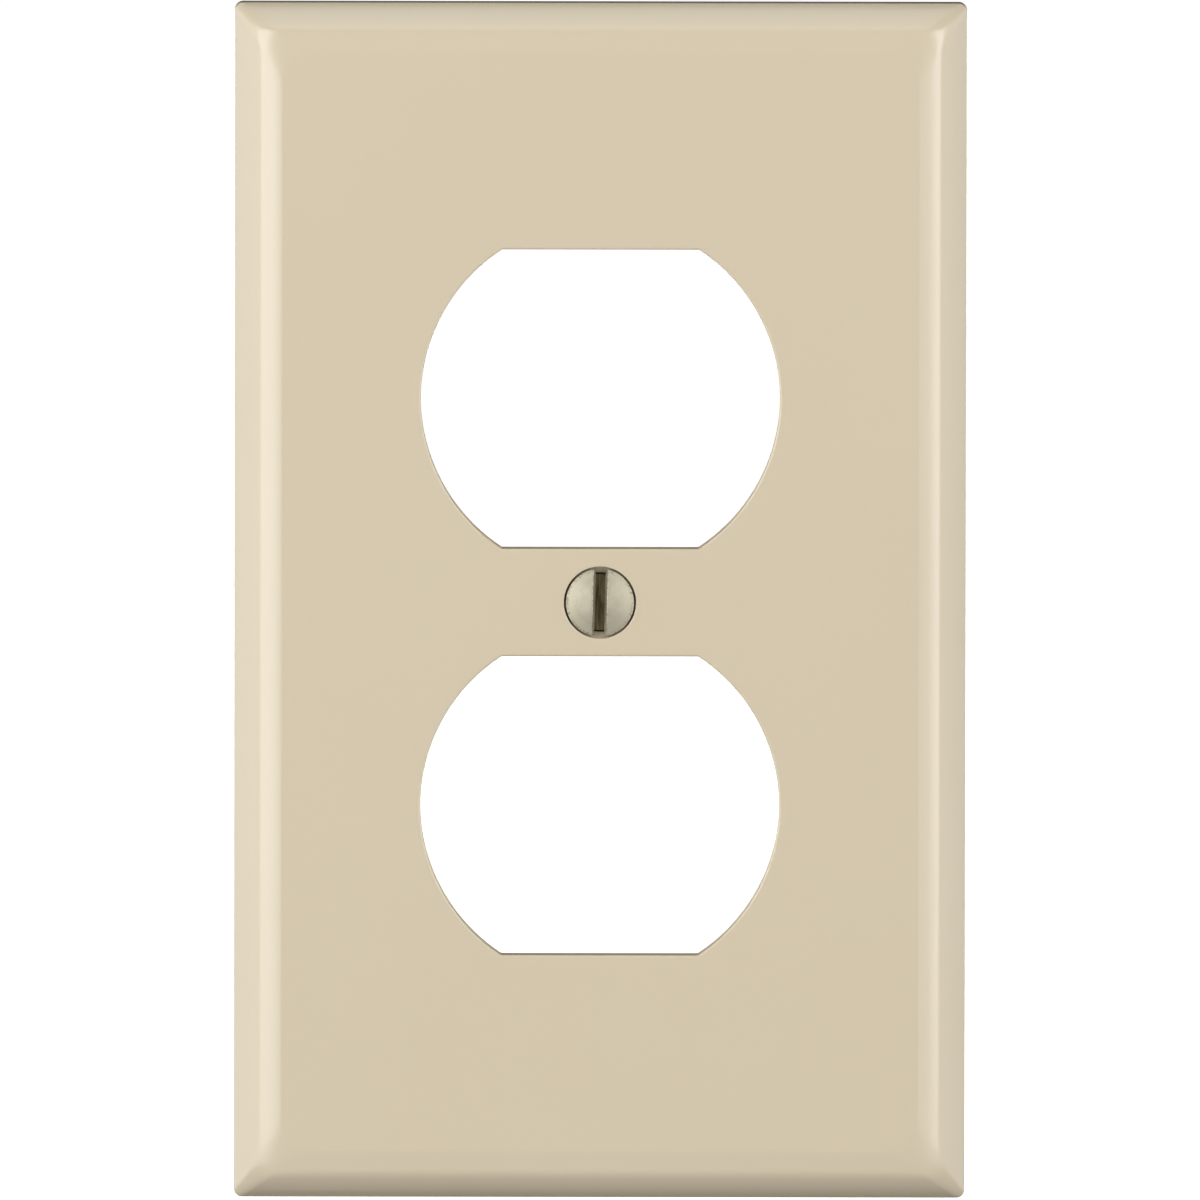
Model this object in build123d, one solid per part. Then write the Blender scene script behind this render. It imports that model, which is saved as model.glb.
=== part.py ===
from build123d import *
import math
import os

# A one-gang duplex receptacle wall plate and the oval head screw that holds it.
# Millimetres. The front faces -Y and the long side stands along Z. The origin is where
# the screw's axis crosses the wall plane, y = 0, so every depth below is measured from the wall.

# Plate: outline and moulded thicknesses
PLATE_WIDTH = 69.85          # 2.75 in, one gang
PLATE_HEIGHT = 114.3         # 4.5 in
PLATE_DEPTH = 5.6            # wall plane to the flat face
CORNER_RADIUS = 0.8          # outline corners, seen from the front
FACE_CORNER_RADIUS = 3.0     # corners of the flat face
PANEL_THICKNESS = 2.3
RIM_THICKNESS = 2.0
CAVITY_CORNER_RADIUS = 1.2
CAVITY_CHAMFER = 0.9         # keeps the wall thick behind the bevel
RIM_EDGE_BREAK = 0.25

# Plate: the bevel round the face, nearly flat at first and then turning down. Each slope is in
# degrees from the flat face, where the arc above it ends.
BEVEL_WIDTH = 4.7            # flat face to the outside of the plate
CREASE_RADIUS = 2.0          # soft crease between the flat face and the bevel
CREASE_SLOPE = 6.5
SHALLOW_RADIUS = 14.8
SHALLOW_SLOPE = 12.5
TURN_RADIUS = 2.9
TURN_SLOPE = 35.0
STEEP_SLOPE = 58.0           # the steep arc's radius follows from the bevel's width
BEVEL_EDGE_RADIUS = 0.4      # between the bevel and the side wall

# Plate: the receptacle openings, each a circle with its top and bottom cut flat
OPENING_RADIUS = 17.1
OPENING_HEIGHT = 28.6
OPENING_SPACING = 38.89      # centre to centre, symmetrical about the screw
OPENING_EDGE_RADIUS = 0.2
COLLAR_WIDTH = 1.2           # rib round each opening, behind the panel
COLLAR_HEIGHT = 0.6

# Plate: screw hole, boss and stiffening ribs
SCREW_HOLE_RADIUS = 1.9
COUNTERSINK_RADIUS = 3.44
COUNTERSINK_WALL = 0.45      # straight wall round the head's rim, before the cone starts
COUNTERSINK_DEPTH = 1.795    # flat face to the foot of the cone, where the head bears
BOSS_RADIUS = 3.6
BOSS_HEIGHT = 1.5
CROSS_RIB_LENGTH = 38.0      # through the boss, and as high as it
CROSS_RIB_WIDTH = 1.2
UPRIGHT_RIB_LENGTH = 96.0
UPRIGHT_RIB_WIDTH = 1.0
UPRIGHT_RIB_HEIGHT = 0.8
UPRIGHT_RIB_OFFSET = 25.0    # from the middle of the plate

# Screw: No. 6-32 UNC oval head, slotted
THREAD_PITCH = 25.4 / 32
THREAD_MAJOR_RADIUS = 3.505 / 2
THREAD_DEPTH = 0.6134 * THREAD_PITCH
THREAD_FLAT_CREST = THREAD_PITCH / 8
THREAD_FLAT_ROOT = THREAD_PITCH / 4
SCREW_LENGTH = 12.7          # 1/2 in, from the head's rim to the point
HEAD_RADIUS = 3.25
HEAD_CONE_ANGLE = 82.0       # included angle of its underside
HEAD_RIM_HEIGHT = 0.12
HEAD_CROWN_HEIGHT = 0.87
HEAD_SINK = 0.1              # from the flat face down to where the head's cone starts
NECK_RADIUS = 1.78
NECK_LENGTH = 0.9
POINT_CHAMFER = 0.6
SLOT_WIDTH = 1.2
SLOT_FLOOR = 0.76            # below the flat face
SLOT_REST_ANGLE = 1.4        # clockwise from upright, seen from the front

FRONT = Plane.XZ             # drawn with x to the right and z up, its normal towards -Y
INTO_WALL = Plane(origin=(0, 0, 0), x_dir=(1, 0, 0), z_dir=(0, 1, 0))
CONE_SPREAD = math.tan(math.radians(HEAD_CONE_ANGLE / 2))


def arc_width(radius, first, last):
    """How far an arc reaches across the face while its slope goes from first to last."""
    return radius * (math.sin(math.radians(last)) - math.sin(math.radians(first)))


def bevel_arcs():
    """The bevel's arcs from the flat face outward, as (radius, first slope, last slope, steps)."""
    before = [
        (CREASE_RADIUS, 0.0, CREASE_SLOPE, 2),
        (SHALLOW_RADIUS, CREASE_SLOPE, SHALLOW_SLOPE, 2),
        (TURN_RADIUS, SHALLOW_SLOPE, TURN_SLOPE, 5),
    ]
    edge = (BEVEL_EDGE_RADIUS, STEEP_SLOPE, 90.0, 3)
    left = BEVEL_WIDTH - sum(arc_width(*arc[:3]) for arc in [*before, edge])
    steep_radius = left / arc_width(1.0, TURN_SLOPE, STEEP_SLOPE)
    return [*before, (steep_radius, TURN_SLOPE, STEEP_SLOPE, 5), edge]


def bevel_levels():
    """Steps down the bevel's section, as (inset from the outline, height above the wall)."""
    inset, height = BEVEL_WIDTH, PLATE_DEPTH
    levels = [(inset, height)]
    for radius, first, last, steps in bevel_arcs():
        slopes = [first + (last - first) * i / steps for i in range(steps + 1)]
        for before, after in zip(slopes, slopes[1:]):
            inset -= arc_width(radius, before, after)
            height -= radius * (math.cos(math.radians(before)) - math.cos(math.radians(after)))
            levels.append((inset, height))
    return levels


def outline_at(inset):
    """The plate's outline drawn in by inset. Its corners get rounder towards the flat face."""
    growth = (FACE_CORNER_RADIUS - CORNER_RADIUS) * inset / BEVEL_WIDTH
    return RectangleRounded(PLATE_WIDTH - 2 * inset, PLATE_HEIGHT - 2 * inset, CORNER_RADIUS + growth)


def outer_shell():
    """The outside of the moulding: straight side walls, then the bevel up to the flat face."""
    levels = bevel_levels()
    bevel = loft([FRONT.offset(height) * outline_at(inset) for inset, height in levels], ruled=True)
    shell = bevel + extrude(FRONT * outline_at(0), amount=levels[-1][1])
    rim_edges = shell.faces().sort_by(Axis.Y)[-1].edges()
    return chamfer(rim_edges, RIM_EDGE_BREAK)


def rear_cavity():
    """The shallow hollow behind the panel, open at the wall plane."""
    depth = PLATE_DEPTH - PANEL_THICKNESS
    outline = RectangleRounded(
        PLATE_WIDTH - 2 * RIM_THICKNESS, PLATE_HEIGHT - 2 * RIM_THICKNESS, CAVITY_CORNER_RADIUS
    )
    hollow = extrude(FRONT * outline, amount=depth)
    return chamfer(hollow.faces().sort_by(Axis.Y)[0].edges(), CAVITY_CHAMFER)


def opening_outline():
    return Circle(OPENING_RADIUS) & Rectangle(2 * OPENING_RADIUS, OPENING_HEIGHT)


def opening_centres():
    return [Pos(0, side * OPENING_SPACING / 2) for side in (1, -1)]


def behind_panel(sketch, height):
    """Extrude a sketch from the back of the panel towards the wall, by height."""
    panel_back = PLATE_DEPTH - PANEL_THICKNESS
    return extrude(FRONT.offset(panel_back) * sketch, amount=-height)


def collars():
    """The rib that follows the edge of each receptacle opening."""
    ring = offset(opening_outline(), COLLAR_WIDTH, kind=Kind.ARC)
    return [behind_panel(place * ring, COLLAR_HEIGHT) for place in opening_centres()]


def stiffening_ribs():
    """A cross rib through the screw's boss, and an upright rib each side of the openings."""
    cross = SlotOverall(CROSS_RIB_LENGTH, CROSS_RIB_WIDTH)
    upright = SlotOverall(UPRIGHT_RIB_LENGTH, UPRIGHT_RIB_WIDTH, rotation=90)
    return [
        behind_panel(cross, BOSS_HEIGHT),
        behind_panel(Pos(UPRIGHT_RIB_OFFSET, 0) * upright, UPRIGHT_RIB_HEIGHT),
        behind_panel(Pos(-UPRIGHT_RIB_OFFSET, 0) * upright, UPRIGHT_RIB_HEIGHT),
    ]


def countersunk_hole():
    """The through hole for the screw, with its countersink. The cone is a little wider than the head's."""
    through = extrude(FRONT * Circle(SCREW_HOLE_RADIUS), amount=PLATE_DEPTH + 1)
    wall_foot = PLATE_DEPTH - COUNTERSINK_WALL
    wall = extrude(FRONT.offset(wall_foot) * Circle(COUNTERSINK_RADIUS), amount=COUNTERSINK_WALL)
    cone = Solid.make_cone(
        SCREW_HOLE_RADIUS, COUNTERSINK_RADIUS, COUNTERSINK_DEPTH - COUNTERSINK_WALL,
        plane=FRONT.offset(PLATE_DEPTH - COUNTERSINK_DEPTH),
    )
    return through + cone + wall


def wall_plate():
    plate = outer_shell() - rear_cavity()
    plate += behind_panel(Circle(BOSS_RADIUS), BOSS_HEIGHT)
    for rib in [*collars(), *stiffening_ribs()]:
        plate += rib
    for place in opening_centres():
        plate -= extrude(FRONT * (place * opening_outline()), amount=PLATE_DEPTH + 1)
    opening_edges = [
        edge
        for edge in plate.edges().filter_by_position(Axis.Y, -PLATE_DEPTH, -PLATE_DEPTH)
        if abs(edge.center().X) < OPENING_RADIUS + 1 and abs(edge.center().Z) < OPENING_SPACING
    ]
    plate = fillet(opening_edges, OPENING_EDGE_RADIUS)
    return plate - countersunk_hole()


def thread_point(radius, advance):
    """A point of the thread's cross-section, where one pitch of advance is one turn."""
    turn = 2 * math.pi * advance / THREAD_PITCH
    return (radius * math.cos(turn), radius * math.sin(turn))


def thread_arc(radius, first, last):
    return ThreePointArc(*[thread_point(radius, a) for a in (first, (first + last) / 2, last)])


def thread_flank(first, last, first_radius, last_radius, steps=8):
    """A spiral between root and crest, which the helix turns into a straight flank."""
    shares = [i / steps for i in range(steps + 1)]
    return Spline(*[
        thread_point(first_radius + (last_radius - first_radius) * s, first + (last - first) * s)
        for s in shares
    ])


def thread_section():
    """Cross-section square to the axis. Twisted one turn per pitch, it is the thread."""
    crest_radius = THREAD_MAJOR_RADIUS
    root_radius = THREAD_MAJOR_RADIUS - THREAD_DEPTH
    flank = (THREAD_PITCH - THREAD_FLAT_CREST - THREAD_FLAT_ROOT) / 2
    crest_end = THREAD_FLAT_CREST
    root_start = crest_end + flank
    root_end = root_start + THREAD_FLAT_ROOT
    return make_face(Curve() + [
        thread_arc(crest_radius, 0, crest_end),
        thread_flank(crest_end, root_start, crest_radius, root_radius),
        thread_arc(root_radius, root_start, root_end),
        thread_flank(root_end, THREAD_PITCH, root_radius, crest_radius),
    ])


def thread(length):
    """Right-hand thread along +Z from the origin, with a chamfered point."""
    path = Line((0, 0, 0), (0, 0, length))
    helix = Helix(pitch=THREAD_PITCH, height=length, radius=THREAD_MAJOR_RADIUS)
    rod = sweep(thread_section(), path=path, binormal=helix)
    clear = 2 * THREAD_MAJOR_RADIUS
    straight = Cylinder(clear, length - clear, align=(Align.CENTER, Align.CENTER, Align.MIN))
    reach = THREAD_MAJOR_RADIUS - POINT_CHAMFER
    tip = Pos(0, 0, length - clear) * Cone(
        reach + clear, reach, clear, align=(Align.CENTER, Align.CENTER, Align.MIN)
    )
    return rod & (straight + tip)


def dome_point(radius, rim_top):
    """A point of the dome's section, at a distance from the axis."""
    sphere = (HEAD_RADIUS ** 2 + HEAD_CROWN_HEIGHT ** 2) / (2 * HEAD_CROWN_HEIGHT)
    centre = rim_top - HEAD_CROWN_HEIGHT + sphere
    return (radius, centre - math.sqrt(sphere ** 2 - radius ** 2))


def screw_head():
    """Dome, rim, 82 degree underside and neck, turned about +Z with the rim's foot at z = 0."""
    cone_depth = (HEAD_RADIUS - NECK_RADIUS) / CONE_SPREAD
    neck_end = cone_depth + NECK_LENGTH
    rim_top = -HEAD_RIM_HEIGHT
    outline = Curve() + [
        ThreePointArc(
            (0, rim_top - HEAD_CROWN_HEIGHT), dome_point(HEAD_RADIUS / 2, rim_top), (HEAD_RADIUS, rim_top)
        ),
        Polyline(
            (HEAD_RADIUS, rim_top), (HEAD_RADIUS, 0), (NECK_RADIUS, cone_depth),
            (NECK_RADIUS, neck_end), (0, neck_end), (0, rim_top - HEAD_CROWN_HEIGHT),
        ),
    ]
    half = Plane.XZ * make_face(outline)
    return revolve(half, Axis.Z, 360), neck_end


def mounting_screw():
    head, neck_end = screw_head()
    screw = head + Pos(0, 0, neck_end) * thread(SCREW_LENGTH - neck_end)
    floor = SLOT_FLOOR - HEAD_SINK
    crown = HEAD_RIM_HEIGHT + HEAD_CROWN_HEIGHT
    slot = Box(SLOT_WIDTH, 3 * HEAD_RADIUS, floor + 2 * crown)
    slot = Pos(0, 0, floor - (floor + 2 * crown) / 2) * slot
    screw -= slot
    seat = Pos(0, HEAD_SINK - PLATE_DEPTH, 0)
    return seat * Rot(0, SLOT_REST_ANGLE, 0) * (INTO_WALL * screw)


os.makedirs("parts", exist_ok=True)
for node, shape in (("wall_plate", wall_plate()), ("mounting_screw", mounting_screw())):
    export_step(shape, f"parts/{node}.step")
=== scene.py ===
import math
import bmesh
import bpy
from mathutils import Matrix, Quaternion, Vector, noise
from mathutils.geometry import delaunay_2d_cdt


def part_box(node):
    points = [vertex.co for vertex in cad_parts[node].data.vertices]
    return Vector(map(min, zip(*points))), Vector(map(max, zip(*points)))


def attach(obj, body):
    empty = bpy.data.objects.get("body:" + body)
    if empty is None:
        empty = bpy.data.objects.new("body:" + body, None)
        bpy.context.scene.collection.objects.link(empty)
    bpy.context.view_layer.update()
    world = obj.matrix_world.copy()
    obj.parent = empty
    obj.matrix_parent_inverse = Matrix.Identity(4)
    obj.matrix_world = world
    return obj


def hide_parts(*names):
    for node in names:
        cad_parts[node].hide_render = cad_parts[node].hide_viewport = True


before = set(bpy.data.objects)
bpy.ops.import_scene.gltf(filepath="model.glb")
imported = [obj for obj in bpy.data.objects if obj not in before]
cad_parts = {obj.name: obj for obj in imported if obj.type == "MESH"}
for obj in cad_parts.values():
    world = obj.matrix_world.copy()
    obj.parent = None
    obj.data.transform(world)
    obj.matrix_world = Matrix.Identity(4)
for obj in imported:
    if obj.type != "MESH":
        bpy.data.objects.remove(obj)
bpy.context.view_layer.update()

# A one-gang duplex receptacle wall plate with its oval head screw. Metres, in the row's frame:
# the front faces -Y, +Z is up, and the wall is the plane y = 0. A height is a distance in front
# of the wall, so a point at height h lies at y = -h.

MM = 0.001

# ---------------------------------------------------------------- sizes taken from the frame

plate_low, plate_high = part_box("wall_plate")
screw_low, screw_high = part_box("mounting_screw")
HALF_WIDTH = plate_high[0]
HALF_HEIGHT = plate_high[2]
FACE = -plate_low[1]                     # height of the flat face
CROWN = -screw_low[1]                    # height of the top of the screw's dome
SCREW_TIP = -screw_high[1]               # behind the wall, so it is negative
HEAD_RADIUS = screw_high[0]

# ---------------------------------------------------------------- wall plate

OUTLINE_CORNER = 0.8 * MM
FACE_CORNER = 3.0 * MM                   # corners of the flat face
BEVEL_WIDTH = 4.7 * MM
CREASE_RADIUS = 2.0 * MM                 # the bevel's arcs, with the slope that each ends at,
CREASE_SLOPE = 6.5                       # in degrees from the flat face
SHALLOW_RADIUS = 14.8 * MM
SHALLOW_SLOPE = 12.5
TURN_RADIUS = 2.9 * MM
TURN_SLOPE = 35.0
STEEP_SLOPE = 58.0
BEVEL_EDGE_RADIUS = 0.4 * MM
PANEL_THICKNESS = 2.3 * MM
RIM_WIDTH = 2.0 * MM
RIM_ROUND = 0.25 * MM                    # outside, where the rim meets the side walls
RIM_INNER_ROUND = 0.15 * MM
CAVITY_CORNER = 1.2 * MM
CAVITY_DRAFT = 0.05 * MM                 # lean of the cavity's walls
CAVITY_FILLET = 0.9 * MM
CAVITY_REACH = 1.6 * MM                  # from the rim to where the flat back of the panel is filled
PANEL_BACK = FACE - PANEL_THICKNESS

OPENING_RADIUS = 17.1 * MM
OPENING_HALF_HEIGHT = 14.3 * MM
OPENING_CENTRE = 19.445 * MM             # above and below the screw
OPENING_CORNER = 0.3 * MM
OPENING_EDGE = 0.2 * MM
COLLAR_WIDTH = 1.2 * MM
COLLAR_BACK = PANEL_BACK - 0.6 * MM
SMALL_ROUND = 0.12 * MM                  # edges of the collars, the screw hole, the boss and the ribs
DRAFT = 0.01 * MM                        # lean of the walls of the collars and the boss
FOOT_FILLET = 0.12 * MM                  # where they meet the panel
FOOT_REACH = 0.14 * MM

COUNTERSINK_RADIUS = 3.44 * MM
COUNTERSINK_EDGE = 0.08 * MM
COUNTERSINK_WALL = 0.45 * MM             # straight, before the cone starts
COUNTERSINK_DEPTH = 1.795 * MM
COUNTERSINK_TURN = 0.05 * MM             # rounding from the wall into the cone
HOLE_TURN = 0.2 * MM                     # rounding from the cone into the hole
SHADE_RADIUS = 2.86 * MM                 # painted shadow: near black in the gap round the head's seat, inside this radius
SCREW_HOLE_RADIUS = 1.9 * MM
BOSS_RADIUS = 3.6 * MM
BOSS_BACK = PANEL_BACK - 1.5 * MM
CROSS_RIB_HALF_LENGTH = 19.0 * MM
CROSS_RIB_HALF_WIDTH = 0.6 * MM
UPRIGHT_RIB_HALF_LENGTH = 48.0 * MM
UPRIGHT_RIB_HALF_WIDTH = 0.5 * MM
UPRIGHT_RIB_OFFSET = 25.0 * MM
UPRIGHT_RIB_BACK = PANEL_BACK - 0.8 * MM
UPRIGHT_RIB_DRAFT = 0.03 * MM
UPRIGHT_RIB_FILLET = 0.25 * MM
UPRIGHT_RIB_REACH = 0.6 * MM             # of the fillet and the strip beside it
EJECTOR_RADIUS = 2.0 * MM
EJECTOR_DEPTH = 0.12 * MM
EJECTOR_ROUND = 0.04 * MM
EJECTOR_SPOTS = [(x * MM, z * MM) for x in (-28.7, 0.0, 28.7) for z in (-46.0, 46.0)]
EJECTOR_SPOTS += [(-28.7 * MM, 0.0), (28.7 * MM, 0.0)]

# Finishes of the plate, in the order of its materials
FRONT_GLOSS, REAR_SATIN, COUNTERSINK_SHADE = range(3)
# Flat strips beside the rounded edges, so that the edges' shading stays off the flat faces
BEVEL_STRIP = 0.6 * MM
HOLE_STRIP = 0.5 * MM
TOP_STRIP = 0.3 * MM
FILL_SPACING = 3.5 * MM
ROW_SHARE = 0.866                        # of the spacing, between rows of an even triangular grid


class Skin:
    """Points and faces of one closed surface. Each face keeps the number of its finish."""

    def __init__(self):
        self.points = []
        self.faces = []
        self.finishes = []
        self.finish = 0

    def add(self, points):
        first = len(self.points)
        self.points.extend(points)
        return list(range(first, first + len(points)))

    def face(self, corners):
        self.faces.append(corners)
        self.finishes.append(self.finish)

    def band(self, a, b, closed=True):
        """Quads between two rows with equally many points."""
        for i in range(len(a) if closed else len(a) - 1):
            j = (i + 1) % len(a)
            self.face((a[i], a[j], b[j], b[i]))

    def rings(self, loops):
        """Joins closed loops one after another. Returns the first and the last."""
        rows = [self.add(loop) for loop in loops]
        for a, b in zip(rows, rows[1:]):
            self.band(a, b)
        return rows[0], rows[-1]

    def grid(self, rows):
        """Joins open rows one after another."""
        rows = [self.add(row) for row in rows]
        for a, b in zip(rows, rows[1:]):
            self.band(a, b, closed=False)

    def fill(self, outer, holes, spacing=FILL_SPACING):
        """Triangles over a flat region with holes, with inner points for even triangles."""
        loops = [outer, *holes]
        height = self.points[outer[0]][1]
        edge_points = [i for loop in loops for i in loop]
        plan = [(self.points[i][0], self.points[i][2]) for i in edge_points]
        edges, start = [], 0
        for loop in loops:
            edges += [(start + i, start + (i + 1) % len(loop)) for i in range(len(loop))]
            start += len(loop)
        inner = [p for p in grid_points(plan, spacing) if inside(p, plan, edges)]
        inner = [p for p in inner if min(math.dist(p, q) for q in plan) > 0.45 * spacing]
        flat = [Vector(p) for p in plan + inner]
        found, _, triangles, origins, _, _ = delaunay_2d_cdt(flat, edges, [], 1, 1e-9)
        names = edge_points + self.add([(x, height, z) for x, z in inner])
        known = [names[origin[0]] for origin in origins]
        for triangle in triangles:
            middle = sum((found[i] for i in triangle), Vector((0, 0))) / 3
            if inside(middle, plan, edges):
                self.face([known[i] for i in triangle])

    def build(self, name, materials, sharp_angle=35.0):
        """The welded mesh as an object, its faces turned outward."""
        mesh = bpy.data.meshes.new(name)
        mesh.from_pydata(self.points, [], self.faces)
        for material in materials:
            mesh.materials.append(material)
        for polygon, finish in zip(mesh.polygons, self.finishes):
            polygon.material_index = finish
        work = bmesh.new()
        work.from_mesh(mesh)
        bmesh.ops.remove_doubles(work, verts=work.verts, dist=1e-7)
        bmesh.ops.dissolve_degenerate(work, edges=work.edges, dist=1e-7)
        bmesh.ops.recalc_face_normals(work, faces=work.faces)
        work.to_mesh(mesh)
        work.free()
        mesh.shade_smooth()
        mesh.set_sharp_from_angle(angle=math.radians(sharp_angle))
        thing = bpy.data.objects.new(name, mesh)
        bpy.context.scene.collection.objects.link(thing)
        weigh = thing.modifiers.new("even_normals", "WEIGHTED_NORMAL")
        weigh.keep_sharp = True
        weigh.weight = 100
        return thing


def grid_points(plan, spacing):
    """A triangular grid over the box that holds the plan's points, set in from the box's low sides,
    because a grid point on the region's edge would split that edge and leave a crack beside it."""
    low = [min(p[k] for p in plan) for k in (0, 1)]
    high = [max(p[k] for p in plan) for k in (0, 1)]
    rows = int((high[1] - low[1]) / (spacing * ROW_SHARE)) + 1
    columns = int((high[0] - low[0]) / spacing) + 1
    return [
        (low[0] + (c + 0.25 + 0.5 * (r % 2)) * spacing, low[1] + (r + 0.5) * spacing * ROW_SHARE)
        for r in range(rows)
        for c in range(columns + 1)
    ]


def inside(point, plan, edges):
    """True if a line from the point crosses the edges an odd number of times."""
    x, z = point
    odd = False
    for i, j in edges:
        (ax, az), (bx, bz) = plan[i], plan[j]
        if (az > z) != (bz > z) and x < ax + (z - az) * (bx - ax) / (bz - az):
            odd = not odd
    return odd


def spread(first, last, steps):
    return [first + (last - first) * i / steps for i in range(steps + 1)]


def turned(angle, radius=1.0):
    """Point at an angle in degrees from +X towards +Z."""
    return radius * math.cos(math.radians(angle)), radius * math.sin(math.radians(angle))


def at_height(plan, height):
    return [(x, -height, z) for x, z in plan]


def rounded_path(corners, steps=5):
    """A path of (offset, height) through corners (offset, height, radius), rounded in arcs."""
    path = [corners[0][:2]]
    for before, here, after in zip(corners, corners[1:], corners[2:]):
        corner = Vector(here[:2])
        to_before = (Vector(before[:2]) - corner).normalized()
        to_after = (Vector(after[:2]) - corner).normalized()
        half = math.acos(max(-1.0, min(1.0, to_before.dot(to_after)))) / 2
        middle = (to_before + to_after).normalized()
        centre = corner + middle * (here[2] / math.sin(half))
        first = corner + to_before * (here[2] / math.tan(half)) - centre
        last = corner + to_after * (here[2] / math.tan(half)) - centre
        swing = first.angle_signed(last)
        for share in spread(0, 1, steps):
            turn = -swing * share
            c, s = math.cos(turn), math.sin(turn)
            path.append((centre[0] + c * first[0] - s * first[1], centre[1] + s * first[0] + c * first[1]))
    return path + [corners[-1][:2]]


# ---- closed outlines, each with a fixed number of points whatever its offset

def rectangle_loop(inset, corner):
    """The plate's outline drawn in by inset."""
    wide, high = HALF_WIDTH - inset - corner, HALF_HEIGHT - inset - corner
    sides = (18, 30, 18, 30)
    centres = ((wide, high), (-wide, high), (-wide, -high), (wide, -high))
    loop = []
    for i, (cx, cz) in enumerate(centres):
        arc = [turned(angle, corner) for angle in spread(90 * i, 90 * (i + 1), 12)]
        loop += [(cx + x, cz + z) for x, z in arc]
        nx, nz = centres[(i + 1) % 4]
        x, z = arc[-1]
        loop += [
            (cx + x + (nx - cx) * share, cz + z + (nz - cz) * share)
            for share in spread(0, 1, sides[i])[1:-1]
        ]
    return loop


def opening_loop(centre, offset):
    """A receptacle opening, its circle cut flat above and below, grown by offset."""
    radius = OPENING_RADIUS - OPENING_CORNER
    flat = OPENING_HALF_HEIGHT - OPENING_CORNER
    tilt = math.degrees(math.acos(flat / radius))
    reach = radius * math.sin(math.radians(tilt))
    grow = OPENING_CORNER + offset
    core = []
    for side in (0, 180):
        core += [(turned(side + a, radius), side + a) for a in spread(tilt - 90, 90 - tilt, 40)]
        end = turned(side + 90 - tilt, radius)
        core += [(end, side + 90 - tilt + a) for a in spread(0, tilt, 4)[1:]]
        across = reach if side == 0 else -reach
        core += [((x, flat if side == 0 else -flat), side + 90) for x in spread(across, -across, 14)[1:]]
        start = turned(side + 90 + tilt, radius)
        core += [(start, side + 90 + a) for a in spread(0, tilt, 4)[1:-1]]
    loop = []
    for (x, z), normal in core:
        dx, dz = turned(normal, grow)
        loop.append((x + dx, centre + z + dz))
    return loop


def circle_loop(radius, centre=(0.0, 0.0), steps=72):
    around = [turned(360 * i / steps, radius) for i in range(steps)]
    return [(centre[0] + x, centre[1] + z) for x, z in around]


def slot_loop(centre, half_length, half_width, offset, upright):
    """A straight rib with round ends, grown by offset."""
    radius = half_width + offset
    reach = half_length - half_width
    loop = []
    for side in (0, 180):
        sign = 1 if side == 0 else -1
        loop += [(sign * reach + x, z) for x, z in (turned(side + a, radius) for a in spread(-90, 90, 10))]
        loop += [(x, sign * radius) for x in spread(sign * reach, -sign * reach, 30)[1:-1]]
    if upright:
        loop = [(-z, x) for x, z in loop]
    return [(centre[0] + x, centre[1] + z) for x, z in loop]


def boss_loop(offset):
    """The screw's boss with the cross rib running through it, grown by offset."""
    rib, boss = CROSS_RIB_HALF_WIDTH + offset, BOSS_RADIUS + offset
    reach = CROSS_RIB_HALF_LENGTH - CROSS_RIB_HALF_WIDTH
    joint = math.degrees(math.asin(rib / boss))
    joint_x = boss * math.cos(math.radians(joint))
    loop = []
    for side in (0, 180):
        sign = 1 if side == 0 else -1
        loop += [(sign * reach + x, z) for x, z in (turned(side + a, rib) for a in spread(-90, 90, 10))]
        loop += [(sign * x, sign * rib) for x in spread(reach, joint_x, 12)[1:]]
        loop += [turned(side + a, boss) for a in spread(joint, 180 - joint, 28)[1:]]
        loop += [(-sign * x, sign * rib) for x in spread(joint_x, reach, 12)[1:-1]]
    return loop


# ---- the moulding, from the flat face round to the hollow back

def arc_width(radius, first, last):
    """How far an arc reaches across the face while its slope goes from first to last."""
    return radius * (math.sin(math.radians(last)) - math.sin(math.radians(first)))


def bevel_arcs():
    """The bevel's arcs from the flat face outward, as (radius, first slope, last slope, steps)."""
    before = [
        (CREASE_RADIUS, 0.0, CREASE_SLOPE, 3),
        (SHALLOW_RADIUS, CREASE_SLOPE, SHALLOW_SLOPE, 5),
        (TURN_RADIUS, SHALLOW_SLOPE, TURN_SLOPE, 9),
    ]
    edge = (BEVEL_EDGE_RADIUS, STEEP_SLOPE, 90.0, 5)
    left = BEVEL_WIDTH - sum(arc_width(*arc[:3]) for arc in [*before, edge])
    steep_radius = left / arc_width(1.0, TURN_SLOPE, STEEP_SLOPE)
    return [*before, (steep_radius, TURN_SLOPE, STEEP_SLOPE, 9), edge]


def bevel_path():
    """Steps (inset, height) from the flat face over the crease, the bevel and its outer edge."""
    inset, height = BEVEL_WIDTH, FACE
    path = [(inset + BEVEL_STRIP, height), (inset, height)]
    for radius, first, last, steps in bevel_arcs():
        slopes = spread(first, last, steps)
        for before, after in zip(slopes, slopes[1:]):
            inset -= arc_width(radius, before, after)
            height -= radius * (math.cos(math.radians(before)) - math.cos(math.radians(after)))
            path.append((inset, height))
    return path


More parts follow.
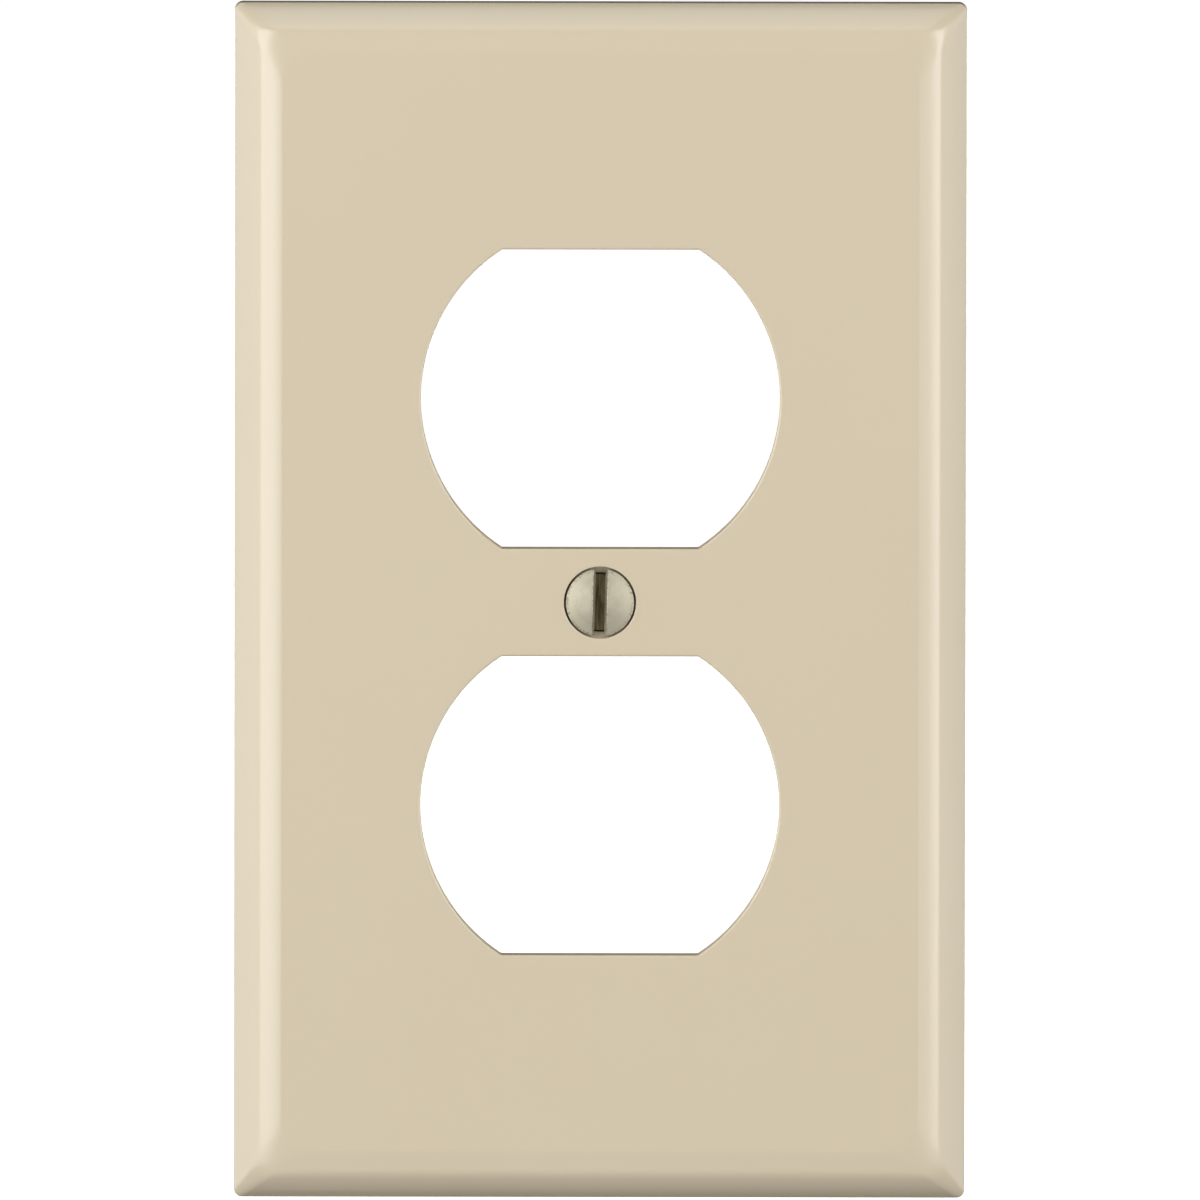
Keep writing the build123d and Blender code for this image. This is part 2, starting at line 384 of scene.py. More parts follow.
def wall_plate_skin():
    """The whole moulding: front and sides, rim and cavity, openings, countersunk hole, boss and ribs."""
    skin = Skin()

    skin.finish = FRONT_GLOSS
    bevel = bevel_path()
    rounding = (FACE_CORNER - OUTLINE_CORNER) / BEVEL_WIDTH
    loops = [at_height(rectangle_loop(i, OUTLINE_CORNER + rounding * i), h) for i, h in bevel]
    side_top = bevel[-1][1]
    for height in spread(side_top, RIM_ROUND, 4)[1:]:
        loops.append(at_height(rectangle_loop(0, OUTLINE_CORNER), height))
    face_edge, side_foot = skin.rings(loops)

    skin.finish = REAR_SATIN
    rim = rounded_path([
        (0, 2 * RIM_ROUND, 0), (0, 0, RIM_ROUND), (RIM_WIDTH, 0, RIM_INNER_ROUND),
        (RIM_WIDTH + CAVITY_DRAFT, PANEL_BACK, CAVITY_FILLET),
        (RIM_WIDTH + CAVITY_REACH, PANEL_BACK, 0),
    ])[1:]
    inward = (CAVITY_CORNER - OUTLINE_CORNER) / RIM_WIDTH
    loops = [
        at_height(rectangle_loop(i, OUTLINE_CORNER + inward * min(i, RIM_WIDTH)), h) for i, h in rim
    ]
    rim_start, floor_edge = skin.rings(loops)
    skin.band(side_foot, rim_start)

    face_holes, floor_holes = [], []
    for centre in (OPENING_CENTRE, -OPENING_CENTRE):
        path = rounded_path([
            (HOLE_STRIP, FACE, 0), (0, FACE, OPENING_EDGE), (0, COLLAR_BACK, SMALL_ROUND),
            (COLLAR_WIDTH, COLLAR_BACK, SMALL_ROUND), (COLLAR_WIDTH + DRAFT, PANEL_BACK, FOOT_FILLET),
            (COLLAR_WIDTH + FOOT_REACH, PANEL_BACK, 0),
        ])
        rows = [skin.add(at_height(opening_loop(centre, offset), h)) for offset, h in path]
        for (_, height), a, b in zip(path[1:], rows, rows[1:]):
            skin.finish = FRONT_GLOSS if height > FACE - 2 * OPENING_EDGE else REAR_SATIN
            skin.band(a, b)
        face_holes.append(rows[0])
        floor_holes.append(rows[-1])

    path = rounded_path([
        (COUNTERSINK_RADIUS + HOLE_STRIP, FACE, 0), (COUNTERSINK_RADIUS, FACE, COUNTERSINK_EDGE),
        (COUNTERSINK_RADIUS, FACE - COUNTERSINK_WALL, COUNTERSINK_TURN),
        (SCREW_HOLE_RADIUS, FACE - COUNTERSINK_DEPTH, HOLE_TURN),
        (SCREW_HOLE_RADIUS, BOSS_BACK, SMALL_ROUND), (SCREW_HOLE_RADIUS + HOLE_STRIP, BOSS_BACK, 0),
    ])
    rows = [skin.add(at_height(circle_loop(r), h)) for r, h in path]
    for (_, height), a, b in zip(path[1:], rows, rows[1:]):
        skin.finish = FRONT_GLOSS if height > FACE - COUNTERSINK_EDGE else COUNTERSINK_SHADE
        skin.band(a, b)
    hole_front, hole_back = rows[0], rows[-1]
    skin.finish = FRONT_GLOSS
    face_holes.append(hole_front)
    skin.fill(face_edge, face_holes)

    skin.finish = REAR_SATIN
    boss = rounded_path([
        (-TOP_STRIP, BOSS_BACK, 0), (0, BOSS_BACK, SMALL_ROUND),
        (DRAFT, PANEL_BACK, FOOT_FILLET), (FOOT_REACH, PANEL_BACK, 0),
    ])
    boss_top, boss_foot = skin.rings([at_height(boss_loop(offset), h) for offset, h in boss])
    skin.fill(boss_top, [hole_back], spacing=0.9 * MM)
    floor_holes.append(boss_foot)

    upright = rounded_path([
        (-TOP_STRIP, UPRIGHT_RIB_BACK, 0), (0, UPRIGHT_RIB_BACK, SMALL_ROUND),
        (UPRIGHT_RIB_DRAFT, PANEL_BACK, UPRIGHT_RIB_FILLET), (UPRIGHT_RIB_REACH, PANEL_BACK, 0),
    ])
    for side in (1, -1):
        size = ((side * UPRIGHT_RIB_OFFSET, 0), UPRIGHT_RIB_HALF_LENGTH, UPRIGHT_RIB_HALF_WIDTH)
        top, foot = skin.rings([at_height(slot_loop(*size, offset, True), h) for offset, h in upright])
        skin.fill(top, [])
        floor_holes.append(foot)

    ejector = rounded_path([
        (EJECTOR_RADIUS + TOP_STRIP, PANEL_BACK, 0), (EJECTOR_RADIUS, PANEL_BACK, EJECTOR_ROUND),
        (EJECTOR_RADIUS, PANEL_BACK + EJECTOR_DEPTH, EJECTOR_ROUND),
        (EJECTOR_RADIUS - TOP_STRIP, PANEL_BACK + EJECTOR_DEPTH, 0),
    ], steps=3)
    for spot in EJECTOR_SPOTS:
        loops = [at_height(circle_loop(r, spot, steps=36), h) for r, h in ejector]
        edge, floor = skin.rings(loops)
        skin.fill(floor, [], spacing=1.0 * MM)
        floor_holes.append(edge)

    skin.fill(floor_edge, floor_holes)
    return skin


# ---------------------------------------------------------------- mounting screw

HEAD_SINK = 0.1 * MM                     # from the flat face down to where the head's cone starts
HEAD_RIM_HEIGHT = 0.12 * MM
RIM_EDGE = 0.05 * MM
RIM_EDGE_DROP = 0.045 * MM               # a little less than its width, so the rim keeps a wall
CONE_INSET = 0.005 * MM                  # of the head's underside, to stay inside the solid
NECK_INSET = 0.01 * MM
NECK_RADIUS = 1.78 * MM
NECK_LENGTH = 0.9 * MM
NECK_TAPER = 0.35 * MM                   # of the neck's length, down to the thread's root
THREAD_PITCH = 25.4 / 32 * MM
THREAD_MAJOR = 3.505 / 2 * MM
THREAD_DEPTH = 0.6134 * THREAD_PITCH
ROOT_RADIUS = THREAD_MAJOR - THREAD_DEPTH
POINT_CHAMFER = 0.6 * MM
TIP_MIDDLE = 0.05 * MM                   # radius of the one face in the middle of the screw's end
SLOT_TOP_HALF_WIDTH = 0.74 * MM
SLOT_LIP_HALF_WIDTH = 0.66 * MM
SLOT_FLOOR_HALF_WIDTH = 0.45 * MM
LIP_SHARE = 0.07                         # of the slot's wall, from the dome down
BURR_SHARE = 0.35                        # of the wall, over which the lip's raggedness dies away
BURR_STEPS = 3                           # of the dome beside the slot, over which it does too
SLOT_FLOOR = 0.76 * MM                   # below the flat face
SLOT_REST_ANGLE = 1.4                    # degrees, clockwise seen from the front

LOBE_STEPS = 24                          # from the slot's edge to the middle of each half of the head
SLOT_STEPS = 6                           # across the slot's floor
SLOT_RUN_STEPS = 40                      # along the slot
THREAD_ROWS = 12                         # rows in one pitch
HEAD_CONE_ANGLE = 82.0                   # included angle of the head's underside
CONE_SPREAD = math.tan(math.radians(HEAD_CONE_ANGLE / 2))

# Finishes of the screw, in the order of its materials
HEAD_METAL, LIP_HIGHLIGHT_METAL, WALL_METAL, SHADED_FLOOR_METAL, THREAD_METAL = range(5)

# The screw is drawn about its own axis: u across the slot, w along it, and s from the foot of
# the head's rim towards the point.
CROWN_S = (FACE - HEAD_SINK) - CROWN
TIP_S = (FACE - HEAD_SINK) - SCREW_TIP
RIM_TOP_S = -HEAD_RIM_HEIGHT
DOME_RISE = RIM_TOP_S - CROWN_S
DOME_RADIUS = (HEAD_RADIUS ** 2 + DOME_RISE ** 2) / (2 * DOME_RISE)
FLOOR_S = SLOT_FLOOR - HEAD_SINK
CONE_FOOT_S = (HEAD_RADIUS - NECK_RADIUS) / CONE_SPREAD
NECK_FOOT_S = CONE_FOOT_S + NECK_LENGTH


def on_screw(u, w, s):
    """A point of the screw in the row's frame."""
    tilt = math.radians(SLOT_REST_ANGLE)
    x, z = u, -w
    return (
        x * math.cos(tilt) + z * math.sin(tilt),
        s - (FACE - HEAD_SINK),
        z * math.cos(tilt) - x * math.sin(tilt),
    )


def dome_s(u, w):
    """The dome's s at a place on the head."""
    return CROWN_S + DOME_RADIUS - math.sqrt(DOME_RADIUS ** 2 - u * u - w * w)


def cone_radius(s):
    return HEAD_RADIUS - s * CONE_SPREAD


def head_levels():
    """(radius, s) from the dome's edge down to the slot's floor."""
    edge = HEAD_RADIUS - RIM_EDGE
    start = dome_s(edge, 0)
    levels = [(edge, start)]
    for angle in spread(0, 90, 4)[1:]:
        x, z = turned(angle, 1.0)
        levels.append((edge + RIM_EDGE * z, start + RIM_EDGE_DROP * (1 - x)))
    levels.append((HEAD_RADIUS, -0.02 * MM))
    levels += [(cone_radius(s) - CONE_INSET, s) for s in spread(0.02 * MM, FLOOR_S, 8)]
    return levels


def slot_half_width(share):
    """Half the slot's width, at a share of the way from its lip to its floor."""
    if share < LIP_SHARE:
        bend = math.sqrt(1 - (1 - share / LIP_SHARE) ** 2)
        return SLOT_TOP_HALF_WIDTH + (SLOT_LIP_HALF_WIDTH - SLOT_TOP_HALF_WIDTH) * bend
    rest = (share - LIP_SHARE) / (1 - LIP_SHARE)
    return SLOT_LIP_HALF_WIDTH + (SLOT_FLOOR_HALF_WIDTH - SLOT_LIP_HALF_WIDTH) * rest


def lobe_arc(radius, half_slot):
    """(u, w) along one half of the head, from one side of the slot round to the other."""
    start = math.degrees(math.asin(half_slot / radius))
    angles = spread(start, 90, LOBE_STEPS) + spread(90, 180 - start, LOBE_STEPS)[1:]
    return [(radius * math.sin(math.radians(a)), radius * math.cos(math.radians(a))) for a in angles]


def lip_burr(side, along):
    """How far the milling cutter left the slot's lip out of line, at along from -1 to 1."""
    wander = noise.noise(Vector((side * 5.0, along * 9.0, 0.0)))
    nick = noise.noise(Vector((side * 9.0, along * 31.0, 4.0)))
    return (0.035 * wander + 0.03 * nick) * MM * (1 - along ** 6)


def slot_row(side, level, share, half_slot, along, top_w):
    """A point of the slot's wall, at a share of the way down from the dome to the floor."""
    radius, _ = level
    burr = lip_burr(side, along) * max(0.0, 1 - share / BURR_SHARE)
    top = dome_s(half_slot, along * top_w) if share == 0 else dome_s(SLOT_TOP_HALF_WIDTH, along * top_w)
    run = math.sqrt(radius ** 2 - half_slot ** 2)
    return on_screw(side * (half_slot + burr), along * run, top + (FLOOR_S - top) * share)


def head_half(skin, side):
    """One half of the slotted head: its dome, its outer edge and its wall of the slot."""
    levels = head_levels()
    shares = [(s - levels[0][1]) / (FLOOR_S - levels[0][1]) for _, s in levels]
    widths = [slot_half_width(share) for share in shares]
    alongs = spread(-1, 1, SLOT_RUN_STEPS)

    skin.finish = HEAD_METAL
    dome = lobe_arc(levels[0][0], widths[0])[:LOBE_STEPS + 1]
    rows = []
    for step, (u, w) in enumerate(dome):
        fade = max(0.0, 1 - step / BURR_STEPS)
        shifted = [(u + fade * lip_burr(side, along), w * along) for along in alongs]
        rows.append([on_screw(side * a, b, dome_s(u, b)) for a, b in shifted])
    skin.grid(rows)
    skin.grid([
        [on_screw(side * u, w, s) for u, w in lobe_arc(radius, half_slot)]
        for (radius, s), half_slot in zip(levels, widths)
    ])

    rows = [
        skin.add([slot_row(side, level, share, half_slot, along, dome[0][1]) for along in alongs])
        for level, share, half_slot in zip(levels, shares, widths)
    ]
    for share, a, b in zip(shares[1:], rows, rows[1:]):
        skin.finish = LIP_HIGHLIGHT_METAL if share < LIP_SHARE else WALL_METAL
        skin.band(a, b, closed=False)


def shank_angles():
    """(u, w) directions round the screw, spaced as the edge of the slot's floor is."""
    radius = head_levels()[-1][0]
    arc = [(u / radius, w / radius) for u, w in lobe_arc(radius, SLOT_FLOOR_HALF_WIDTH)]
    across = spread(SLOT_FLOOR_HALF_WIDTH / radius, -SLOT_FLOOR_HALF_WIDTH / radius, SLOT_STEPS)[1:-1]
    ring = list(arc)
    ring += [(u, -math.sqrt(1 - u * u)) for u in across]
    ring += [(-u, -w) for u, w in arc]
    ring += [(-u, math.sqrt(1 - u * u)) for u in across]
    return ring


def thread_radius(turn, s):
    """Radius of the thread at a turn (0 to 1, right-handed about the screw) and at s."""
    phase = (s / THREAD_PITCH - turn) % 1.0
    crest, root = 1 / 8, 1 / 4
    flank = (1 - crest - root) / 2
    away = min(abs(phase - crest / 2), 1 - abs(phase - crest / 2))
    share = 1 - min(1.0, max(0.0, (away - crest / 2) / flank))
    run_in = min(1.0, max(0.0, (s - NECK_FOOT_S) / (0.8 * THREAD_PITCH)))
    radius = ROOT_RADIUS + THREAD_DEPTH * share * run_in
    return min(radius, THREAD_MAJOR - POINT_CHAMFER + (TIP_S - s))


def screw_skin():
    """The whole screw: both halves of the head, the slot's floor, the neck, the thread and the point."""
    skin = Skin()
    for side in (1, -1):
        head_half(skin, side)

    skin.finish = SHADED_FLOOR_METAL
    floor_radius = head_levels()[-1][0]
    rows = []
    for u in spread(-SLOT_FLOOR_HALF_WIDTH, SLOT_FLOOR_HALF_WIDTH, SLOT_STEPS):
        run = math.sqrt(floor_radius ** 2 - u * u)
        rows.append([on_screw(u, run * share, FLOOR_S) for share in spread(-1, 1, SLOT_RUN_STEPS)])
    skin.grid(rows)

    ring = shank_angles()
    skin.finish = HEAD_METAL
    profile = [(cone_radius(s) - CONE_INSET, s) for s in spread(FLOOR_S, CONE_FOOT_S - 0.1 * MM, 6)]
    neck = NECK_RADIUS - NECK_INSET
    profile += [(neck, CONE_FOOT_S + 0.05 * MM), (neck, NECK_FOOT_S - NECK_TAPER)]
    skin.rings([[on_screw(u * r, w * r, s) for u, w in ring] for r, s in profile])

    skin.finish = THREAD_METAL
    run_out = [profile[-1], (ROOT_RADIUS + 0.1 * MM, NECK_FOOT_S - 0.08 * MM), (ROOT_RADIUS, NECK_FOOT_S)]
    skin.rings([[on_screw(u * r, w * r, s) for u, w in ring] for r, s in run_out])
    turns = [(math.atan2(w, u) / (2 * math.pi)) % 1.0 for u, w in ring]
    first = min(range(len(ring)), key=lambda i: turns[i])
    ring = ring[first:] + ring[:first]
    turns = turns[first:] + turns[:first]
    if turns[1] > turns[2]:
        ring = ring[:1] + ring[:0:-1]
        turns = turns[:1] + turns[:0:-1]
    pitches = int((TIP_S - NECK_FOOT_S) / THREAD_PITCH) + 3
    rows = []
    for row in range(pitches * THREAD_ROWS + 1):
        points = []
        for (u, w), turn in zip(ring, turns):
            s = NECK_FOOT_S + (row / THREAD_ROWS + turn - 1) * THREAD_PITCH
            s = min(TIP_S, max(NECK_FOOT_S, s))
            r = thread_radius(turn, s)
            points.append(on_screw(u * r, w * r, s))
        rows.append(skin.add(points))
    for a, b in zip(rows, rows[1:]):
        skin.band(a, b, closed=False)
    for row in range(len(rows) - THREAD_ROWS - 1):
        a, b = rows[row], rows[row + 1]
        c, d = rows[row + THREAD_ROWS], rows[row + THREAD_ROWS + 1]
        skin.face((a[-1], c[0], d[0], b[-1]))
    reach = THREAD_MAJOR - POINT_CHAMFER
    skin.rings([[on_screw(u * r, w * r, TIP_S) for u, w in ring] for r in spread(reach, TIP_MIDDLE, 4)])
    skin.face(skin.add([on_screw(u * TIP_MIDDLE, w * TIP_MIDDLE, TIP_S) for u, w in ring]))
    return skin


# ---------------------------------------------------------------- materials

class Nodes:
    """A material's node tree, with short calls to add nodes and link them."""

    def __init__(self, name):
        self.material = bpy.data.materials.new(name)
        self.material.use_nodes = True
        self.tree = self.material.node_tree
        self.shader = self.tree.nodes["Principled BSDF"]
        self.place = self.add("ShaderNodeTexCoord").outputs["Object"]

    def add(self, kind, **settings):
        node = self.tree.nodes.new(kind)
        for name, value in settings.items():
            setattr(node, name, value)
        return node

    def put(self, value, socket):
        if isinstance(value, bpy.types.NodeSocket):
            self.tree.links.new(value, socket)
        else:
            socket.default_value = value

    def noise(self, size, detail=2.0, roughness=0.5, stretch=(1, 1, 1)):
        """Noise from 0 to 1 whose blobs are about size metres across."""
        mapping = self.add("ShaderNodeMapping")
        self.put(self.place, mapping.inputs["Vector"])
        mapping.inputs["Scale"].default_value = stretch
        node = self.add("ShaderNodeTexNoise")
        self.put(mapping.outputs["Vector"], node.inputs["Vector"])
        self.put(1.0 / size, node.inputs["Scale"])
        self.put(detail, node.inputs["Detail"])
        self.put(roughness, node.inputs["Roughness"])
        return node.outputs["Fac"]

    def ranged(self, value, low, high, start=0.0, end=1.0):
        """Value mapped from start..end to low..high, and kept there."""
        node = self.add("ShaderNodeMapRange")
        names = ("Value", "From Min", "From Max", "To Min", "To Max")
        for name, number in zip(names, (value, start, end, low, high)):
            self.put(number, node.inputs[name])
        return node.outputs["Result"]

    def math(self, operation, *values):
        node = self.add("ShaderNodeMath", operation=operation)
        for value, socket in zip(values, node.inputs):
            self.put(value, socket)
        return node.outputs[0]

    def from_axis(self):
        """Distance from the screw's axis."""
        flat = self.add("ShaderNodeVectorMath", operation="MULTIPLY")
        self.put(self.place, flat.inputs[0])
        flat.inputs[1].default_value = (1, 0, 1)
        length = self.add("ShaderNodeVectorMath", operation="LENGTH")
        self.put(flat.outputs["Vector"], length.inputs[0])
        return length.outputs["Value"]

    def mix(self, share, a, b):
        node = self.add("ShaderNodeMix", data_type="RGBA")
        self.put(share, node.inputs["Factor"])
        self.put(a, node.inputs["A"])
        self.put(b, node.inputs["B"])
        return node.outputs["Result"]

    def bump(self, layers):
        """Stacked bumps of (height, depth in metres, strength)."""
        normal = None
        for height, depth, strength in layers:
            node = self.add("ShaderNodeBump")
            self.put(height, node.inputs["Height"])
            node.inputs["Distance"].default_value = depth
            node.inputs["Strength"].default_value = strength
            if normal is not None:
                self.put(normal, node.inputs["Normal"])
            normal = node.outputs["Normal"]
        return normal

    def finish(self, **inputs):
        for name, value in inputs.items():
            self.put(value, self.shader.inputs[name.replace("_", " ")])
        return self.material


def tone(red, green, blue):
    return (red, green, blue, 1.0)


IVORY = tone(0.660, 0.574, 0.426)
IVORY_WARM = tone(0.654, 0.567, 0.418)


def ivory_gloss():
    """Smooth glossy ivory moulding, with the faint unevenness of a polished mould."""
    n = Nodes("ivory_gloss")
    color = n.mix(n.ranged(n.noise(22 * MM, detail=2.0), 0.0, 1.0, 0.3, 0.7), IVORY, IVORY_WARM)
    haze = n.noise(9 * MM, detail=3.0)
    normal = n.bump([
        (n.noise(12 * MM, detail=0.0), 0.01 * MM, 0.15),
        (n.noise(0.5 * MM, detail=1.0), 0.001 * MM, 0.3),
    ])
    return n.finish(
        Base_Color=color, Roughness=n.ranged(haze, 0.15, 0.18, 0.3, 0.7), Normal=normal,
        IOR=1.6, Specular_IOR_Level=0.5,
    )


def ivory_satin():
    """The back of the moulding, where the mould was only spark-finished."""
    n = Nodes("ivory_satin")
    drift = n.noise(14 * MM, detail=3.0)
    color = n.mix(n.ranged(drift, 0.0, 1.0, 0.3, 0.7), tone(0.68, 0.585, 0.425), tone(0.655, 0.56, 0.40))
    grain = n.noise(0.22 * MM, detail=3.0, roughness=0.6)
    normal = n.bump([(grain, 0.02 * MM, 0.5)])
    return n.finish(
        Base_Color=color, Roughness=n.ranged(grain, 0.48, 0.62, 0.3, 0.7), Normal=normal,
        IOR=1.5, Specular_IOR_Level=0.4,
    )


def shaded_ivory():
    """The countersink's wall, with painted shade: its ivory toned grey, and a near black painted shadow in
    the gap round the head's seat.
    """
    n = Nodes("shaded_ivory")
    mottle = n.noise(0.5 * MM, detail=3.0, roughness=0.6)
    # Painted shade: the wall's ivory is toned grey, darker than the face's.
    color = n.mix(n.ranged(mottle, 0.0, 1.0, 0.3, 0.7), tone(0.46, 0.40, 0.28), tone(0.36, 0.31, 0.21))
    wander = n.math("MULTIPLY_ADD", n.noise(1.5 * MM), 0.06 * MM, n.from_axis())
    # Painted shadow: near black inside the given radius round the head's seat.
    gap_shadow = n.ranged(wander, 1.0, 0.0, SHADE_RADIUS, SHADE_RADIUS + 0.06 * MM)
    return n.finish(
        Base_Color=n.mix(gap_shadow, color, tone(0.035, 0.028, 0.016)), Roughness=0.75,
        Normal=n.bump([(mottle, 0.01 * MM, 0.5)]),
    )


def nickel_head():
    """Dull nickel plating, faintly clouded, with a painted highlight in a brighter ring towards the head's
    edge, and dark specks that crowd at the edge itself into a band of painted shade."""
    n = Nodes("nickel_head")
    cloud = n.noise(1.3 * MM, detail=2.0)
    specks = n.noise(0.17 * MM, detail=3.0, roughness=0.7)
    dull = n.mix(n.ranged(cloud, 0.0, 1.0, 0.35, 0.65), tone(0.48, 0.445, 0.34), tone(0.42, 0.385, 0.285))
    # Painted highlight: a brighter ring towards the head's edge.
    painted_highlight_ring = n.ranged(n.from_axis(), 0.0, 1.0, HEAD_RADIUS - 1.05 * MM, HEAD_RADIUS - 0.45 * MM)
    tint = n.mix(painted_highlight_ring, dull, tone(0.53, 0.49, 0.37))
    # Painted shade: the dark specks crowd into a darker band at the head's edge.
    edge_shade_band = n.ranged(n.from_axis(), 0.06, 0.9, HEAD_RADIUS - 0.35 * MM, HEAD_RADIUS - 0.03 * MM)
    share = n.math("MULTIPLY", n.ranged(specks, 0.0, 1.0, 0.48, 0.62), edge_shade_band)
    return n.finish(
        Base_Color=n.mix(share, tint, tone(0.15, 0.12, 0.075)), Metallic=0.35,
        Roughness=n.ranged(specks, 0.44, 0.56, 0.35, 0.7),
        Normal=n.bump([(cloud, 0.03 * MM, 0.25), (specks, 0.012 * MM, 0.4)]),
    )


def nickel_lip_highlight():
    """The slot's lips, toned brighter as a painted highlight, with dark nicks."""
    n = Nodes("nickel_lip_highlight")
    nicks = n.noise(0.22 * MM, detail=3.0, roughness=0.7)
    # Painted highlight: the lips' tone is brighter than the head's and walls'.
    metal = n.mix(n.ranged(nicks, 0.0, 1.0, 0.46, 0.60), tone(0.62, 0.58, 0.47), tone(0.20, 0.17, 0.11))
    return n.finish(
        Base_Color=metal, Metallic=0.5, Roughness=0.4, Normal=n.bump([(nicks, 0.02 * MM, 0.6)]),
    )


def nickel_wall():
    """The slot's walls, speckled where the plating is thin."""
    n = Nodes("nickel_wall")
    specks = n.noise(0.16 * MM, detail=3.0, roughness=0.7)
    metal = n.mix(n.ranged(specks, 0.0, 1.0, 0.40, 0.62), tone(0.58, 0.54, 0.40), tone(0.26, 0.235, 0.15))
    return n.finish(
        Base_Color=metal, Metallic=0.3, Roughness=0.55, Normal=n.bump([(specks, 0.015 * MM, 0.5)]),
    )


def shaded_nickel_floor():
    """The slot's floor, with painted shade: toned near black for the shade deep in the slot, with the
    cutter's streaks along it.
    """
    n = Nodes("shaded_nickel_floor")
    streaks = n.noise(0.16 * MM, detail=3.0, roughness=0.65, stretch=(1, 1, 0.08))
    share = n.ranged(streaks, 0.0, 1.0, 0.38, 0.62)
    # Painted shade: near black tones stand in for the shade deep in the slot.
    metal = n.mix(share, tone(0.17, 0.14, 0.065), tone(0.06, 0.046, 0.016))
    return n.finish(
        Base_Color=metal, Metallic=0.5, Roughness=n.ranged(streaks, 0.42, 0.56, 0.35, 0.7),
        Normal=n.bump([(streaks, 0.012 * MM, 0.5)]),
    )


def nickel_thread():
    """The rolled thread, a little brighter than the milled parts."""
    n = Nodes("nickel_thread")
    rolled = n.noise(0.3 * MM, detail=3.0, roughness=0.6, stretch=(1, 0.2, 1))
    metal = n.mix(n.ranged(rolled, 0.0, 1.0, 0.35, 0.7), tone(0.62, 0.59, 0.52), tone(0.42, 0.39, 0.33))
    return n.finish(
        Base_Color=metal, Metallic=1.0, Roughness=n.ranged(rolled, 0.30, 0.44, 0.35, 0.7),
        Normal=n.bump([(rolled, 0.006 * MM, 0.4)]),
    )


# ---------------------------------------------------------------- the two pieces

plate = wall_plate_skin().build(
    "wall_plate_moulding", [ivory_gloss(), ivory_satin(), shaded_ivory()], sharp_angle=60
)
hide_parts("wall_plate")
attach(plate, "plate")

screw = screw_skin().build(
    "oval_head_screw",
    [nickel_head(), nickel_lip_highlight(), nickel_wall(), shaded_nickel_floor(), nickel_thread()],
    sharp_angle=40,
)
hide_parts("mounting_screw")
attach(screw, "screw")

# ---------------------------------------------------------------- studio

CAMERA_DISTANCE = 5.0
CAMERA_ELEVATION = 4.2                   # degrees above the horizon
CAMERA_ROLL = 0.1                        # degrees
AIM_HEIGHT = -0.16 * MM                  # of the picture's middle, from the screw
VIEW_WIDTH = 114.6 * MM                  # seen across the picture at the plate
SENSOR = 36.0
FLOOR_SIZE = 6.0
FILL_STRENGTH = 0.02                     # of the world's light, where the camera doesn't see it


def pale_floor():
    bpy.ops.mesh.primitive_plane_add(size=FLOOR_SIZE, location=(0, 0, plate_low[2]))
    floor = bpy.context.object
    floor.name = "floor"
    n = Nodes("pale_floor")
    shade = n.noise(120 * MM, detail=2.0)
    color = n.mix(shade, tone(0.93, 0.93, 0.93), tone(0.90, 0.90, 0.90))
    floor.data.materials.append(n.finish(
        Base_Color=color, Roughness=0.9, Emission_Color=tone(1, 1, 1), Emission_Strength=1.0,
    ))
    floor.visible_diffuse = False
    floor.visible_glossy = False
    floor.visible_shadow = False


# Each softbox spans two ranges of degrees, as seen from the plate: from left to right of straight
# ahead, and up from the horizon. The last number is its radiance. The two behind stay low and to
# the sides, out of what the walls that face up mirror towards the camera.
SOFTBOXES = (
    ("left_key", (-58, -14), (-24, 30), 1.75),
    ("left_core", (-44, -18), (-9, 32), 2.3),
    ("left_wing", (-115, -58), (-24, 30), 1.65),
    ("right_key", (14, 64), (-24, 30), 1.15),
    ("right_core", (24, 44), (-9, 32), 2.9),
    ("right_wing", (64, 115), (-24, 30), 1.35),
    ("overhead", (-35, 35), (45, 100), 1.25),
    ("under", (-35, 35), (-50, -30), 0.45),
    ("behind_left", (198, 228), (-36, 2), 5.2),
    ("behind_right", (132, 162), (-36, 2), 4.2),
)
SOFTBOX_DISTANCE = 0.8


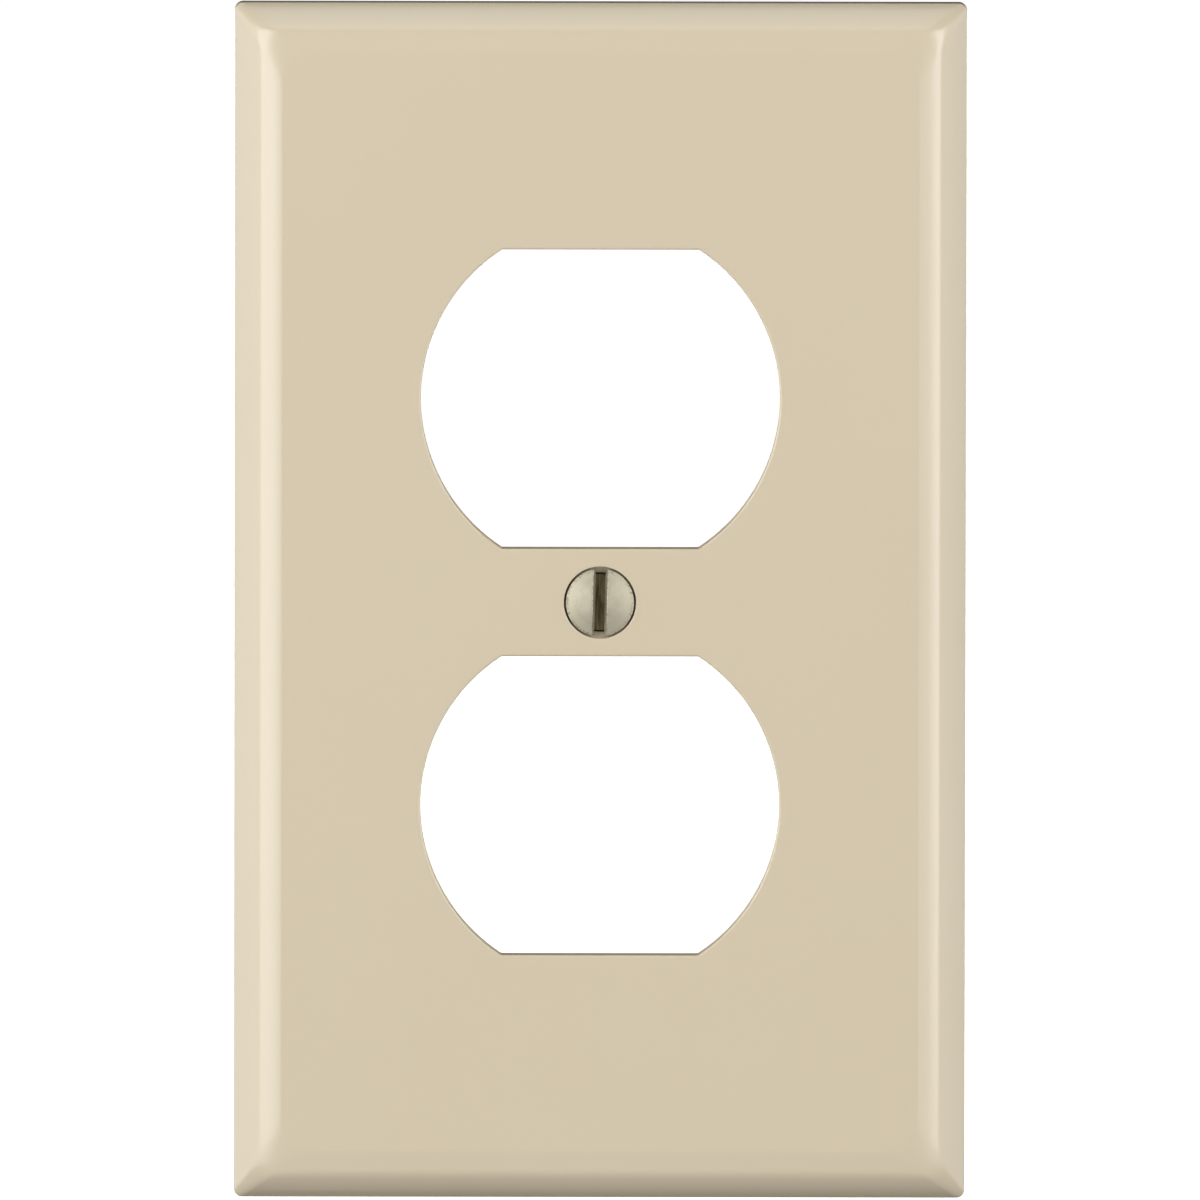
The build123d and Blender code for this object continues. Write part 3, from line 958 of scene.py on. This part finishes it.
def softbox(name, across, up, radiance):
    light = bpy.data.lights.new(name, "AREA")
    light.shape = "RECTANGLE"
    side, lift = (math.radians(sum(span) / 2) for span in (across, up))
    half_width, half_height = (math.radians(span[1] - span[0]) / 2 for span in (across, up))
    light.size = 2 * SOFTBOX_DISTANCE * math.tan(half_width) * math.cos(lift)
    light.size_y = 2 * SOFTBOX_DISTANCE * math.tan(half_height)
    light.energy = math.pi * light.size * light.size_y * radiance
    lamp = bpy.data.objects.new(name, light)
    bpy.context.scene.collection.objects.link(lamp)
    out = Vector((math.sin(side) * math.cos(lift), -math.cos(side) * math.cos(lift), math.sin(lift)))
    lamp.location = SOFTBOX_DISTANCE * out
    lamp.rotation_euler = out.to_track_quat("Z", "Y").to_euler()
    lamp.visible_camera = False


def studio():
    pale_floor()
    for box in SOFTBOXES:
        softbox(*box)

    world = bpy.data.worlds.new("studio")
    world.use_nodes = True
    tree = world.node_tree
    seen = tree.nodes.new("ShaderNodeBackground")
    seen.inputs["Strength"].default_value = 1.0
    seen.inputs["Color"].default_value = tone(1, 1, 1)
    fill = tree.nodes["Background"]
    fill.inputs["Color"].default_value = tone(1, 1, 1)
    fill.inputs["Strength"].default_value = FILL_STRENGTH
    ray = tree.nodes.new("ShaderNodeLightPath")
    choose = tree.nodes.new("ShaderNodeMixShader")
    tree.links.new(ray.outputs["Is Camera Ray"], choose.inputs[0])
    tree.links.new(fill.outputs[0], choose.inputs[1])
    tree.links.new(seen.outputs[0], choose.inputs[2])
    tree.links.new(choose.outputs[0], tree.nodes["World Output"].inputs["Surface"])
    bpy.context.scene.world = world
    bpy.context.scene.view_settings.view_transform = "Standard"


def photo_camera():
    camera = bpy.data.objects.new("camera", bpy.data.cameras.new("camera"))
    bpy.context.scene.collection.objects.link(camera)
    camera.data.sensor_width = SENSOR
    camera.data.lens = SENSOR * CAMERA_DISTANCE / VIEW_WIDTH
    up = math.radians(CAMERA_ELEVATION)
    out = Vector((0, -math.cos(up), math.sin(up)))
    camera.location = out * CAMERA_DISTANCE + Vector((0, 0, AIM_HEIGHT))
    roll = Quaternion(out, math.radians(CAMERA_ROLL))
    camera.rotation_euler = (roll @ out.to_track_quat("Z", "Y")).to_euler()
    bpy.context.scene.camera = camera


studio()
photo_camera()
